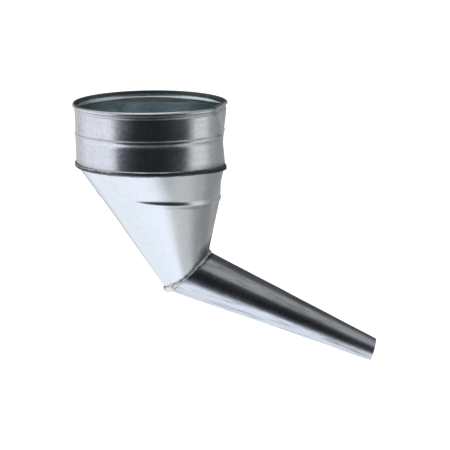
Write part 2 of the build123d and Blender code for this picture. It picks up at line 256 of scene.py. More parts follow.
def press_flat(co):
    """Move a point of a round ring to its place on the D-shaped bowl."""
    angle = atan2(co.y, co.x)
    out = hypot(co.x, co.y) - bowl_radius
    depth = share_of(co.z / band_foot)
    turn = flat_turn + radians(18) * depth
    reach = flat_reach + 1.5 * mm * depth
    corner = corner_radius + 26 * mm * min(1, depth * 6)
    radius = d_radius(angle - turn, bowl_radius, reach, corner) + out + hand_made(angle, co.z)
    droop = (4.6 * mm * facing(angle, 0, 40) - 1.2 * mm * facing(angle, -118, 28)) * depth ** 3
    droop -= max(0, 1 + co.z / (9 * mm)) * (0.5 + 0.7 * max(0, sin(angle))) * mm
    return Vector((radius * cos(angle), radius * sin(angle), co.z - droop))


print("the flat's middle is", round(flat_reach, 4), "out and its corner radius", round(corner_radius, 4))

# %% [markdown]
# The camera is a long lens a few metres away, as a catalogue picture is taken. A long lens keeps
# the taper of the spout and the ovals of the bowl close to how they measure. The camera comes
# before the pieces, so that each of them can be looked at as soon as it is made.

# %% Camera
def studio_camera():
    """A long lens from the front, a little above, with the least possible turn about its axis."""
    azimuth, elevation, roll = radians(-1.91), radians(11.35), radians(-0.47)
    distance = 3.3427
    back = Vector((sin(azimuth) * cos(elevation), -cos(azimuth) * cos(elevation), sin(elevation)))
    data = bpy.data.cameras.new("studio_camera")
    data.lens, data.sensor_width = 200, 36
    data.clip_end = 100
    camera = bpy.data.objects.new("studio_camera", data)
    scene.collection.objects.link(camera)
    target = Vector((97.69, 0, -167.74)) * mm
    camera.location = target + back * distance
    turn = (-back).to_track_quat("-Z", "Y").to_matrix() @ Matrix.Rotation(roll, 3, "Z")
    camera.rotation_euler = turn.to_euler()
    scene.camera = camera
    print("the camera stands at", [round(v, 3) for v in camera.location])


studio_camera()

# %% [markdown]
# Materials are written as sums. A socket is wrapped in a small class whose operators add Math
# nodes, so that a mask reads like arithmetic. Colours go through Mix nodes, because a Math node
# would turn them grey.

# %% A socket that can be added and multiplied
class Wire:
    """An output socket of a node tree, with arithmetic."""

    def __init__(self, tree, socket):
        self.tree, self.socket = tree, socket

    def math(self, operation, *others, clamp=False):
        return self.tree.node("ShaderNodeMath", self, *others, operation=operation, use_clamp=clamp)

    def __add__(self, other):
        return self.math("ADD", other)

    def __radd__(self, other):
        return self.math("ADD", other)

    def __mul__(self, other):
        return self.math("MULTIPLY", other)

    def __rmul__(self, other):
        return self.math("MULTIPLY", other)

    def __sub__(self, other):
        return self.math("SUBTRACT", other)

    def __rsub__(self, other):
        return self.tree.node("ShaderNodeMath", other, self, operation="SUBTRACT")

    def __truediv__(self, other):
        return self.math("DIVIDE", other)

    def __pow__(self, other):
        return self.math("POWER", other)

    def __gt__(self, other):
        return self.math("GREATER_THAN", other)

    def clamp(self):
        return self.math("ADD", 0, clamp=True)


# %% A node tree
class Tree:
    """A node tree with one call that makes any node, sets it and wires it."""

    def __init__(self, owner):
        owner.use_nodes = True
        self.nodes, self.links = owner.node_tree.nodes, owner.node_tree.links
        self.nodes.clear()

    def plug(self, value, socket):
        if isinstance(value, Wire):
            self.links.new(value.socket, socket)
        elif value is not None:
            socket.default_value = value

    def node(self, kind, *values, out=0, stops=None, named=None, **settings):
        made = self.nodes.new(kind)
        for key, value in settings.items():
            setattr(made, key, value)
        if stops:
            elements = made.color_ramp.elements
            while len(elements) < len(stops):
                elements.new(0.5)
            for element, (place, colour) in zip(elements, stops):
                element.position = place
                element.color = (*colour, 1)
        for socket, value in zip(made.inputs, values):
            self.plug(value, socket)
        for key, value in (named or {}).items():
            self.plug(value, made.inputs[key])
        return Wire(self, made.outputs[out]) if made.outputs else made

    def mix(self, amount, first, second):
        return self.node("ShaderNodeMix", data_type="RGBA", blend_type="MIX", out=2,
                         named={0: amount, 6: first, 7: second})

    def ramp(self, value, stops):
        return self.node("ShaderNodeValToRGB", value, stops=stops)

    def vector(self, operation, *values, **more):
        return self.node("ShaderNodeVectorMath", *values, operation=operation, **more)

    def split(self, vector):
        """The three parts of a vector."""
        parts = self.node("ShaderNodeSeparateXYZ", vector).socket.node
        return [Wire(self, socket) for socket in parts.outputs]

    def measured(self, place, way, start):
        """How far a place lies from a start, along a direction."""
        return self.vector("DOT_PRODUCT", place, tuple(way), out=1) - start.dot(way)

    def object_point(self, stretch=(1, 1, 1), turn=(0, 0, 0)):
        """The place on the piece, in metres, turned and stretched for a pattern."""
        point = self.node("ShaderNodeTexCoord", out=3)
        size = tuple(1 / v for v in stretch)
        return self.node("ShaderNodeMapping", point, vector_type="TEXTURE",
                         named={"Rotation": turn, "Scale": size})

    def noise(self, point, scale, detail=3, rough=0.5, out=0):
        return self.node("ShaderNodeTexNoise", out=out,
                         named={"Vector": point, "Scale": scale, "Detail": detail, "Roughness": rough})

    def cells(self, point, scale):
        """One random colour for each crystal."""
        return self.node("ShaderNodeTexVoronoi", out=1, named={"Vector": point, "Scale": scale})

    def bump(self, height, distance, strength=1.0, normal=None):
        return self.node("ShaderNodeBump", named={"Height": height, "Distance": distance,
                                                  "Strength": strength, "Normal": normal})

    def surface(self, **sockets):
        """The shader itself: one Principled BSDF to the output."""
        named = {key.replace("_", " "): value for key, value in sockets.items()}
        shader = self.node("ShaderNodeBsdfPrincipled", named=named)
        self.node("ShaderNodeOutputMaterial", named={"Surface": shader})


# %% [markdown]
# Hot-dip zinc is a mirror that has been breathed on. The metal froze in flat crystals, the
# spangle, and each crystal is tilted and etched a little differently, so that reflections break
# up in patches. The sheet was then rolled and handled, which leaves fine streaks along it. All
# of this is roughness and bump. The colour hardly changes, except where dirt and painted shade
# lie on it.

# %% Zinc sheet
# The dark colour that the masks lay on, both for dirt and for painted shade.
grime_and_shade = (0.026, 0.022, 0.020, 1)
tip_start, tip_blend = 0.17, 0.10


def tint(tone, amount):
    """A tone made lighter or darker, as a colour for a socket."""
    return (*(v * amount for v in tone), 1)


def zinc(name, along=(1, 1, 0.18), turn=(0, 0, 0), tone=(0.72, 0.735, 0.75), dull=0.19, streaks=0.3,
         wear=0.55, mottled=0.12, dirt_and_shade=None, tip_dull=0.0):
    """Galvanised steel with its streaks along one direction, and dirt and painted shade where a mask
    puts them.
    """
    material = bpy.data.materials.new(name)
    t = Tree(material)
    plain = t.object_point()
    drawn = t.object_point(stretch=along, turn=turn)
    warp = t.vector("SCALE", t.noise(plain, 55, 2, out=1), named={"Scale": 0.006})
    crystal = t.cells(t.vector("ADD", plain, warp), 190)
    tilt = t.node("ShaderNodeSeparateColor", crystal)
    patch = t.noise(plain, 30, 4, 0.6)
    streak = t.noise(drawn, 620, 4, 0.65)
    broad = t.noise(drawn, 170, 4, 0.65)
    cloud = t.noise(plain, 9, 2)
    mottle = t.noise(plain, 330, 5, 0.75)
    worn = ((broad - 0.48) * 3.2).clamp() * streaks
    lightness = (tilt * 0.35 + patch * 0.9 - 0.12 + (mottle - 0.5) * 6 * mottled).clamp()
    colour = t.mix(lightness, tint(tone, 0.94 - 0.3 * mottled), tint(tone, 1.03))
    colour = t.mix(worn, colour, tint(tone, wear))
    rough = dull + (tilt - 0.5) * 0.05 + (patch - 0.5) * 0.14 + worn * 0.18 + (cloud - 0.5) * 0.08
    rolled = t.bump(streak, 0.00006, 0.5, t.bump(mottle, 0.00022, mottled))
    spangle = t.bump(tilt, 0.00004, 0.22, rolled)
    dents = t.bump(t.noise(plain, 38, 2, 0.4), 0.0006, 0.2, spangle)
    if tip_dull:
        run = t.measured(plain, spout_way, joint_middle)
        rough = rough + ((run - tip_start) * (1 / tip_blend)).clamp() * tip_dull
    # Where the mask is, the dark colour is laid on: dirt, and painted shade where the mask stands for
    # shade.
    if dirt_and_shade:
        mask = dirt_and_shade(t)
        colour = t.mix(mask, colour, grime_and_shade)
        rough = rough + mask * 0.3
    t.surface(Base_Color=colour, Metallic=1.0, Roughness=rough.clamp(), Normal=dents)
    return material


# %% [markdown]
# Dirt collects where a cloth can't reach: in the fold, and round the soldered joint, where flux
# and smoke darkened the zinc. The same dark colour also paints shade: in the corner above the
# fold, under the rolled rim, beside the joint and in its upper corner, and along the top of the
# spout. Each mask is a band at a known place on the piece, broken up by noise, so that it keeps
# its place in every view.

# %% Where the dirt and painted shade lie on the bowl
fold_line = -81.5 * mm
corner_line = -77.2 * mm
roll_line = -5.0 * mm


def band_of(value, middle, reach):
    """One at a middle value, falling to nothing at a reach on each side."""
    return (1 - (value - middle).math("ABSOLUTE") * (1 / reach)).clamp()


def fold_dirt_and_shade(t):
    """Old oil and dust in the folded seam, and painted shade in the corner above it and under the rolled
    rim.
    """
    place = t.object_point()
    across, _, up = t.split(place)
    right = (across * (1 / bowl_radius)).clamp()
    left = (across * (-1.3 / bowl_radius)).clamp()
    ends = (right + left * 0.5).clamp()
    # Painted shade under the rolled rim, away from the ends.
    under_roll_shade = band_of(up, roll_line, 1.2 * mm) * (1 - ends).clamp() * 1.5
    sag = right * right * right * 4.6 * mm
    height = up + sag + (t.noise(place, 70, 3) - 0.5) * 3 * mm
    speck = (t.noise(place, 380, 4, 0.7) - 0.5) * 2.4
    blotch = (t.noise(place, 150, 3, 0.6) - 0.5) * 2.4
    line = (band_of(height, fold_line, 3.8 * mm) * (2.3 + speck * 1.3 + blotch - left * 0.9)).clamp()
    # Painted shade in the corner above the fold, towards the ends of the bowl.
    above = band_of(height, corner_line, 6.8 * mm) * ends * ends * (1.35 + speck)
    # The dirt in the fold, with the painted shade in the corner and under the roll.
    return (line * 0.86 + above.clamp() * 0.7 + under_roll_shade.clamp() * 0.8).clamp() * 0.95


def rim_top_darkening(t):
    """Darker on the inside skin near the top of the rim, broken up by specks."""
    place = t.object_point()
    up = t.split(place)[2]
    speck = (t.noise(place, 300, 4, 0.7) - 0.5) * 0.9
    return ((up + 4.6 * mm) * (1 / (1.8 * mm)) + speck).clamp() * 0.76


# %% Where the dirt and painted shade lie round the joint and on the spout
def joint_dirt_and_shade(t):
    """Flux and smoke along the soldered joint, with painted shade beside it that widens and is darkest
    on the cone in its upper corner.
    """
    place = t.object_point()
    across = t.measured(place, joint_normal, joint_middle)
    high = ((t.measured(place, joint_side, joint_middle) + 2 * mm) * (1 / (35 * mm))).clamp()
    speck = (t.noise(place, 260, 4, 0.7) - 0.5) * 2.2
    # Near the top of the joint the band widens on the cone: painted shade in the corner between cone and
    # spout.
    wide = 3.6 * mm + high * high * (across > 0) * 12 * mm + high * 3 * mm
    near = (1 - across.math("ABSOLUTE") / wide).clamp()
    return (near * (1.3 + high * 0.4) * (1.1 + speck)).clamp() * 0.75


# The fold's dirt and painted shade, together with the joint's.
def cone_dirt_and_shade(t):
    return (fold_dirt_and_shade(t) + joint_dirt_and_shade(t)).clamp()


def spout_dirt_and_shade(t):
    """Flux and smoke with painted shade at the joint, and speckled painted shade drawn out along the top
    of the spout.
    """
    place = t.object_point()
    run = t.measured(place, spout_way, joint_middle)
    over = t.measured(place, spout_over, joint_middle)
    reach = spout_radius - run * spout_slope
    # Painted shade along the top of the spout, broken into specks and strongest near the joint.
    top = band_of(over / reach, 0.86, 0.34)
    fade = 0.35 + (1 - run * (1 / 0.16)).clamp() * 0.65
    drawn = t.object_point(stretch=(0.22, 1, 1), turn=(0, spout_dip, 0))
    top_shade = ((t.noise(drawn, 330, 5, 0.75) - 0.46) * 6).clamp()
    return (joint_dirt_and_shade(t) + top * fade * top_shade * 0.75).clamp()


# %% [markdown]
# The joints are soft-soldered, and the solder was wiped while it was pasty, so it is lumpy and
# has flux burnt into its hollows. The strainer is brass, which stays yellow under a thin brown
# tarnish. Both are metals, so again roughness and bump carry most of the look.

# %% Solder and brass
def solder_metal():
    """Wiped solder: dull, grey, pitted, with flux burnt into its hollows."""
    material = bpy.data.materials.new("wiped_solder")
    t = Tree(material)
    plain = t.object_point()
    lump = t.noise(plain, 190, 4, 0.6)
    pit = t.noise(plain, 720, 3, 0.6)
    flux = ((t.noise(plain, 260, 3, 0.7) - 0.53).clamp() * 7).clamp()
    colour = t.mix(lump, (0.66, 0.65, 0.63, 1), (0.88, 0.88, 0.87, 1))
    colour = t.mix(flux, colour, (0.20, 0.16, 0.14, 1))
    t.surface(Base_Color=colour, Metallic=1.0, Roughness=(0.30 + pit * 0.22 + flux * 0.2).clamp(),
              Normal=t.bump(lump + pit * 0.4, 0.0005, 0.6))
    return material


def brass(name, dull):
    """Rolled brass with a light tarnish."""
    material = bpy.data.materials.new(name)
    t = Tree(material)
    plain = t.object_point()
    tarnish = t.noise(plain, 70, 4, 0.6)
    grain = t.noise(plain, 900, 3, 0.6)
    colour = t.mix((tarnish * 1.6 - 0.3).clamp(), (0.60, 0.53, 0.40, 1), (0.34, 0.30, 0.23, 1))
    rough = (dull + (tarnish - 0.5) * 0.3 + grain * 0.06).clamp()
    t.surface(Base_Color=colour, Metallic=1.0, Roughness=rough, Normal=t.bump(grain, 0.00005, 0.4))
    return material


# %% [markdown]
# One recipe gives four zinc finishes. The band was rolled round, so its streaks run round it and
# its skin is more mottled. The cone's skin is the cleanest. The spout is handled the most, so it
# is the darkest and has the longest streaks. The inside faces get their own blue-grey copy of the
# zinc, a painted tint for how the light looks inside the bowl.

# %% The finishes of this funnel
zinc_band = zinc("zinc_band", along=(0.25, 0.25, 1), mottled=0.35, dirt_and_shade=fold_dirt_and_shade)
zinc_cone = zinc("zinc_cone", streaks=0.06, dirt_and_shade=cone_dirt_and_shade)
zinc_spout = zinc("zinc_spout", along=(0.06, 1, 1), turn=(0, spout_dip, 0), tone=(0.62, 0.635, 0.665),
                  dull=0.2, streaks=1.0, wear=0.25, dirt_and_shade=spout_dirt_and_shade, tip_dull=0.13)
# A separate blue-grey copy of the zinc for the inside faces: a painted tint for the light inside the
# bowl.
zinc_inside_painted_tint = zinc("zinc_inside_painted_tint", tone=(0.74, 0.84, 0.87), dull=0.24, streaks=0.1, dirt_and_shade=rim_top_darkening)
solder = solder_metal()
strainer_brass = brass("strainer_brass", 0.26)
gauze_brass = brass("gauze_brass", 0.34)
bail_brass = brass("bail_wire_brass", 0.22)
print("finishes:", ", ".join(material.name for material in bpy.data.materials))

# %% [markdown]
# The band is one strip of sheet. Its cross-section is drawn once as the inside skin, from the
# foot flange up past the bead and the neck and round the wire in the rim, and then spun.

# %% Bowl band
roll_inset = 1.9 * mm
roll_lip = 0.7 * mm
neck_rise = 3.5 * mm


def band_bead(height):
    """The rise of the band's bead at a height: its upper flank is steeper than its lower one."""
    share = share_of((height + bead_drop) / bead_width + 0.5)
    return swell(share ** bead_lean - 0.5, 1, bead_height)


def band_section():
    """The inside skin of the band, from its foot flange up and over the wire to the roll's edge."""
    face, neck, inner = bowl_face, bowl_face - neck_depth, bowl_face - roll_inset
    section = [(bowl_radius + 1.3 * mm, band_foot), (bowl_radius + 0.2 * mm, band_foot)]
    section += [(face, band_foot), (face, band_foot + 8 * mm)]
    steps = 28
    for i in range(steps + 1):
        up = (i / steps - 0.5) * bead_width - bead_drop
        section.append((face + band_bead(up), up))
    section += [(face, -25 * mm), (face, -17 * mm), (face, -neck_bottom - 0.6 * mm)]
    steps = 14
    for i in range(1, steps + 1):
        share = i / steps
        ease = share * share * (3 - 2 * share)
        section.append((face - neck_depth * ease, -neck_bottom + share * neck_rise))
    steps = 8
    for i in range(1, steps + 1):
        section.append((neck + (inner - neck) * i / steps, (i * 3 / steps - 7) * mm))
    section += [(inner, -2.4 * mm)] + arc((inner + roll_lip, -roll_lip), roll_lip, 180, 90, 5)
    steps = 14
    for i in range(1, steps + 1):
        turn = radians(90 - i * 90 / steps)
        section.append((face + (3.0 * cos(turn) - 1.2) * mm, (4.0 * sin(turn) - 4.0) * mm))
    return section + arc((face + 1.1 * mm, -4.4 * mm), roll_lip, 0, -120, 6)


def make_band():
    bm = bmesh.new()
    turned_sheet(bm, band_section())
    thicken(bm, sheet, outward=False)
    for vert in bm.verts:
        vert.co = press_flat(vert.co)
    mark_inside(bm, lambda co: Vector((0, 0, co.z)))
    finish_piece(bm, "band_sheet", "funnel", [zinc_band, zinc_inside_painted_tint], ["bowl_band"])


make_band()

# %% [markdown]
# A raw edge of sheet is sharp and floppy. The roll hides it, and the wire inside the roll keeps
# the rim in shape. The wire is a small circle spun with the band, and bent to the same D.

# %% Wire in the rim
def make_rim_wire():
    bm = bmesh.new()
    turned_sheet(bm, arc((bowl_face, -2.6 * mm), 1.1 * mm, 0, 360, 12))
    bmesh.ops.recalc_face_normals(bm, faces=bm.faces)
    for vert in bm.verts:
        vert.co = press_flat(vert.co)
    finish_piece(bm, "rim_core_wire", "funnel", [zinc_spout], ["rim_wire"])


make_rim_wire()

# %% [markdown]
# The cone changes shape on its way down: a D at the fold, an oval at the joint. A tinsmith rolls
# it from one flat blank, so every line from fold to joint is straight. Three loops, the fold, the
# bead and the joint, are therefore bridged and cut into rings, and only the bead is pushed out.

# %% Outlines of the cone
def ring_of(bm, place):
    """A closed loop of vertices, placed by a function of the angle."""
    made = bmesh.ops.create_circle(bm, cap_ends=False, radius=1, segments=around)
    for vert in made["verts"]:
        vert.co = place(atan2(vert.co.y, vert.co.x))
    return list({e for v in made["verts"] for e in v.link_edges})


def seat_place(angle):
    """The cone's outline in the plane of its bead."""
    radius = d_radius(angle - flat_turn, seat_radius, seat_flat, seat_corner)
    turned = Matrix.Rotation(-seat_tilt, 3, "Y")
    return seat_middle + turned @ Vector((radius * cos(angle), radius * sin(angle), 0))


def joint_oval(radius):
    """Middle and half-axes of the oval where a taper of that radius meets the joint's plane."""
    skew = pi / 2 - joint_tilt - spout_dip
    far = radius / (cos(skew) + sin(skew) * spout_slope)
    near = radius / (cos(skew) - sin(skew) * spout_slope)
    return (far - near) / 2, (far + near) / 2, radius


def joint_place(angle, radius):
    """A point on the oval of the joint."""
    shift, wide, deep = joint_oval(radius)
    along = joint_side * (shift + wide * cos(angle))
    return joint_middle + along + Vector((0, deep * sin(angle), 0))


def fold_section():
    """The outside skin of the folded seam, from its tucked edge to the top of the cone."""
    edge = bowl_radius
    out = edge + hem_reach
    top, foot, bend = -78.0 * mm, -83.8 * mm, 1.3 * mm
    section = [(edge + 0.15 * mm, top - 1.2 * mm), (edge + 0.2 * mm, top - 0.3 * mm)]
    section += arc((out - bend, top - bend), bend, 80, 0, 6)
    section += arc((out - bend, foot + bend), bend, 0, -90, 6)
    return section + [(edge - 0.8 * mm, foot + 0.05 * mm), (edge - 2.0 * mm, foot - 0.2 * mm)]


def bead_rise(co):
    """How far the cone's bead lifts the sheet at a point."""
    turned = Matrix.Rotation(seat_tilt, 3, "Y") @ (co - seat_middle)
    angle = atan2(co.y, co.x)
    return swell(turned.z + 1.5 * mm * sin(angle), cone_bead_width, cone_bead_height)


# %% Cone
def cut(bm, place, way, **more):
    """Cut the whole mesh along a plane."""
    everything = bm.verts[:] + bm.edges[:] + bm.faces[:]
    bmesh.ops.bisect_plane(bm, geom=everything, dist=1e-6, plane_co=place, plane_no=way, **more)


def make_cone():
    bm = bmesh.new()
    turned_sheet(bm, fold_section())
    low = min(v.co.z for v in bm.verts)
    upper = [e for e in bm.edges if e.is_boundary and max(v.co.z for v in e.verts) < low + 0.05 * mm]
    for vert in bm.verts:
        vert.co = press_flat(vert.co)
    middle = ring_of(bm, seat_place)
    lower = ring_of(bm, lambda angle: joint_place(angle, spout_radius - joint_tuck))
    first = bmesh.ops.bridge_loops(bm, edges=upper + middle)["edges"]
    second = bmesh.ops.bridge_loops(bm, edges=middle + lower)["edges"]
    bmesh.ops.subdivide_edges(bm, edges=first, cuts=26, use_grid_fill=True)
    bmesh.ops.subdivide_edges(bm, edges=second, cuts=44, use_grid_fill=True)
    for step in range(-7, 8):
        level = seat_middle + Vector((0, 0, step * 0.9 * mm))
        cut(bm, level, (-sin(seat_tilt), 0, cos(seat_tilt)))
    thicken(bm, sheet, outward=True)
    for vert in bm.verts:
        rise = bead_rise(vert.co)
        free = share_of((band_foot - vert.co.z) / (20 * mm))
        slack = noise.noise(vert.co * 16) * 0.5 * mm * free
        out = Vector((vert.co.x - cone_axis, vert.co.y, 0)).normalized()
        vert.co += out * (rise + slack)
    mark_inside(bm, lambda co: Vector((cone_axis, 0, co.z)))
    finish_piece(bm, "cone_sheet", "funnel", [zinc_cone, zinc_inside_painted_tint], ["bowl_cone"])


make_cone()

# %% [markdown]
# The spout is a plain taper, so it starts as a cone without caps. It is cut to length by two
# planes, the slanting one of the joint and the nearly square one of the outlet, which is how the
# seams of pipes and hoods are laid out on paper too.

# %% Spout
spout_slack = 0.3 * mm


def on_spout_axis(co):
    """The nearest point on the spout's axis."""
    return joint_middle + spout_way * (co - joint_middle).dot(spout_way)


def make_spout():
    bm = bmesh.new()
    spare = 45 * mm
    bmesh.ops.create_cone(bm, cap_ends=False, segments=around, depth=spout_length + 2 * spare,
                          radius1=spout_radius + spare * spout_slope,
                          radius2=outlet_radius - spare * spout_slope)
    lengthwise = [e for e in bm.edges if not e.is_boundary]
    bmesh.ops.subdivide_edges(bm, edges=lengthwise, cuts=70, use_grid_fill=True)
    turn = Vector((0, 0, 1)).rotation_difference(spout_way).to_matrix()
    middle = joint_middle + spout_way * (spout_length / 2)
    bmesh.ops.transform(bm, verts=bm.verts, matrix=Matrix.Translation(middle) @ turn.to_4x4())
    outlet = joint_middle + spout_way * spout_length
    cut(bm, joint_middle, joint_normal, clear_outer=True)
    cut(bm, outlet, Matrix.Rotation(-outlet_cut, 3, "Y") @ spout_way, clear_outer=True)
    bmesh.ops.recalc_face_normals(bm, faces=bm.faces)
    face = max(bm.faces, key=lambda f: f.calc_center_median().y)
    if face.normal.y < 0:
        bmesh.ops.reverse_faces(bm, faces=bm.faces)
    bmesh.ops.solidify(bm, geom=bm.faces, thickness=sheet)
    bmesh.ops.recalc_face_normals(bm, faces=bm.faces)
    for vert in bm.verts:
        slack = noise.noise(vert.co * 22) * 0.35 * mm + spout_slack
        vert.co += (vert.co - on_spout_axis(vert.co)).normalized() * slack
    mark_inside(bm, on_spout_axis)
    finish_piece(bm, "spout_sheet", "funnel", [zinc_spout, zinc_inside_painted_tint], ["spout"])


make_spout()

# %% [markdown]
# The joint is closed with a run of solder. It was wiped on by hand, so it is a ring of uneven
# height and width, thicker at the bottom where it ran together and drawn up into the corner at
# the top.

# %% Solder round the joint
run_radius = 1.8 * mm


def solder_swell(angle):
    """How fat the run of solder is: a pouch at the low end and a web in the top corner."""
    pouch = 1.2 * min(1, max(0, -cos(angle) - 0.25) * 2.2)
    web = 1.3 * exp(-(angle / 0.3) ** 2)
    return 1.15 + pouch + web + 0.45 * noise.noise(Vector((cos(angle) * 5, sin(angle) * 5, 3)))


def make_joint_solder():
    bm = bmesh.new()
    bmesh.ops.create_circle(bm, cap_ends=False, radius=run_radius, segments=16)
    bmesh.ops.rotate(bm, verts=bm.verts, matrix=Matrix.Rotation(pi / 2, 3, "X"))
    bmesh.ops.translate(bm, verts=bm.verts, vec=(spout_radius, 0, 0))
    bmesh.ops.spin(bm, geom=bm.verts[:] + bm.edges[:], cent=(0, 0, 0), axis=(0, 0, 1), angle=2 * pi,
                   steps=480, use_merge=True)
    bmesh.ops.remove_doubles(bm, verts=bm.verts, dist=1e-7)
    bmesh.ops.recalc_face_normals(bm, faces=bm.faces)
    for vert in bm.verts:
        angle = atan2(vert.co.y, vert.co.x)
        out = hypot(vert.co.x, vert.co.y) - spout_radius
        fat = solder_swell(angle) + 0.28 * noise.noise(vert.co * 260)
        away = joint_side * cos(angle) + Vector((0, sin(angle), 0))
        lump = away * out * fat * 0.8 + joint_normal * vert.co.z * fat
        vert.co = joint_place(angle, spout_radius - 0.5 * mm) + lump
    finish_piece(bm, "joint_solder", "funnel", [solder], ["spout_joint_solder"])


make_joint_solder()

# %% [markdown]
# Each sheet is closed along its length by a lock seam: the two edges are hooked into each other,
# beaten flat and sealed with a thin run of solder. A seam is a narrow strip that follows the
# sheet, so it is laid on the same surface formula as the sheet, and lifted along the surface's
# own outward direction.

# %% Surfaces that the seams follow
bead_share = 0.7


def band_surface(angle, share):
    """The outside of the band, from above its foot (0) to its neck (1)."""
    up = (share * 64 - 76) * mm
    reach = bowl_radius + band_bead(up)
    return press_flat(Vector((reach * cos(angle), reach * sin(angle), up)))


def cone_surface(angle, share):
    """The outside of the cone, from the joint (0) past its bead to the fold (1)."""
    seat = seat_place(angle)
    if share < bead_share:
        foot = joint_place(angle, spout_radius - joint_tuck)
        place = foot.lerp(seat, 0.04 + share / bead_share * 0.96)
    else:
        edge = bowl_radius - 2 * mm
        top = press_flat(Vector((edge * cos(angle), edge * sin(angle), -84 * mm)))
        place = seat.lerp(top, (share - bead_share) / (1 - bead_share) * 0.97)
    out = Vector((place.x - cone_axis, place.y, 0)).normalized()
    return place + out * bead_rise(place)


def spout_surface(angle, share):
    """The outside of the spout, from past the joint (0) to the outlet (1)."""
    run = 22 * mm + share * (spout_length - 25 * mm)
    reach = spout_radius - run * spout_slope
    away = spout_over * cos(angle) + Vector((0, 1, 0)) * sin(angle)
    return joint_middle + spout_way * run + away * reach


def outward(surface, angle, share):
    """The surface's outward direction, from two short steps along it."""
    step = 0.01
    turn = surface(angle + step, share) - surface(angle, share)
    along = surface(angle, min(1, share + step)) - surface(angle, max(0, share - step))
    return turn.cross(along).normalized()


# %% Lock seams
def make_seam(name, surface, middle, radius, material, width, height):
    """A beaten strip, steep on its soldered edge and sloping on the other."""
    bm = bmesh.new()
    made = bmesh.ops.create_grid(bm, x_segments=12, y_segments=80, size=1)
    for vert in made["verts"]:
        across, share = vert.co.x, (vert.co.y + 1) / 2
        angle = middle + across * width / 2 / radius
        lift = height * min(1, (1 - across) * 2.2, (1 + across) * 7) - 0.25 * mm
        beaten = 0.12 * mm * noise.noise(Vector((across, share * 40, 1)))
        vert.co = surface(angle, share) + outward(surface, angle, share) * (lift + beaten)
    bmesh.ops.recalc_face_normals(bm, faces=bm.faces)
    face = max(bm.faces, key=lambda f: f.calc_center_median().y)
    if face.normal.dot(outward(surface, middle, 0.5)) < 0:
        bmesh.ops.reverse_faces(bm, faces=bm.faces)
    bmesh.ops.solidify(bm, geom=bm.faces, thickness=0.4 * mm)
    bmesh.ops.recalc_face_normals(bm, faces=bm.faces)
    finish_piece(bm, name, "funnel", [material], ())


def make_seam_solder(name, surface, middle, radius, replaced, width):
    """A thin lumpy run of solder along the steep edge of a seam."""
    bm = bmesh.new()
    angle = middle - (width / 2 + 0.1 * mm) / radius

    def place(share, turn):
        out = outward(surface, angle, share)
        side = (surface(angle + 0.01, share) - surface(angle, share)).normalized()
        ends = min(1, 12 * share + 0.1, 12 * (1 - share) + 0.1)
        fat = ends * (0.75 * mm + 0.35 * mm * noise.noise(Vector((share * 28, 2, 5))))
        return surface(angle, share) + out * (0.35 * mm + fat * sin(turn)) + side * fat * cos(turn)

    rolled_tube(bm, place, 160, 8)
    bmesh.ops.holes_fill(bm, edges=[e for e in bm.edges if e.is_boundary], sides=0)
    bmesh.ops.recalc_face_normals(bm, faces=bm.faces)
    finish_piece(bm, name, "funnel", [solder], [replaced])


back, spout_back = radians(100), radians(120)
for part, seam, surface, middle, radius, material, width, height in (
        ("band", "band_side_seam", band_surface, back, bowl_radius, zinc_band, 7 * mm, 1.1 * mm),
        ("cone", "cone_side_seam", cone_surface, back, 62 * mm, zinc_cone, 7 * mm, 1.1 * mm),
        ("spout", "spout_seam_lap", spout_surface, spout_back, 25 * mm, zinc_spout, 6 * mm, 0.8 * mm)):
    make_seam(seam, surface, middle, radius, material, width, height)
    make_seam_solder(part + "_seam_run", surface, middle, radius, part + "_seam_solder", width)

# %% [markdown]
# Inside the bowl the fold would leak, so it too is run round with solder. The ring is turned as
# a small tube, pressed to the D like the sheets, and made lumpy.

# %% Solder inside the bowl
def make_inner_run():
    bm = bmesh.new()
    core = (bowl_face - 0.5 * mm, fold_line)
    turned_sheet(bm, arc(core, 1.5 * mm, 0, 360, 10))
    bmesh.ops.recalc_face_normals(bm, faces=bm.faces)
    for vert in bm.verts:
        angle = atan2(vert.co.y, vert.co.x)
        lump = 0.3 * mm * noise.noise(Vector((cos(angle) * 9, sin(angle) * 9, vert.co.z * 200)))
        vert.co = press_flat(vert.co + Vector((cos(angle), sin(angle), 0.6)) * lump)
    finish_piece(bm, "bowl_seam_run", "funnel", [solder], ["bowl_seam_solder"])


make_inner_run()

# %% [markdown]
# The gauze is woven from thin brass wire, over one and under one, and clamped under a ring. A
# picture of a weave would be cheaper, but the open mesh shows from above, so every wire is
# really there: a flat grid rolled into a four-sided tube, with one step for each crossing. The
# cloth is cut to the D of its hoop, so each wire stops at its last crossing inside that outline.

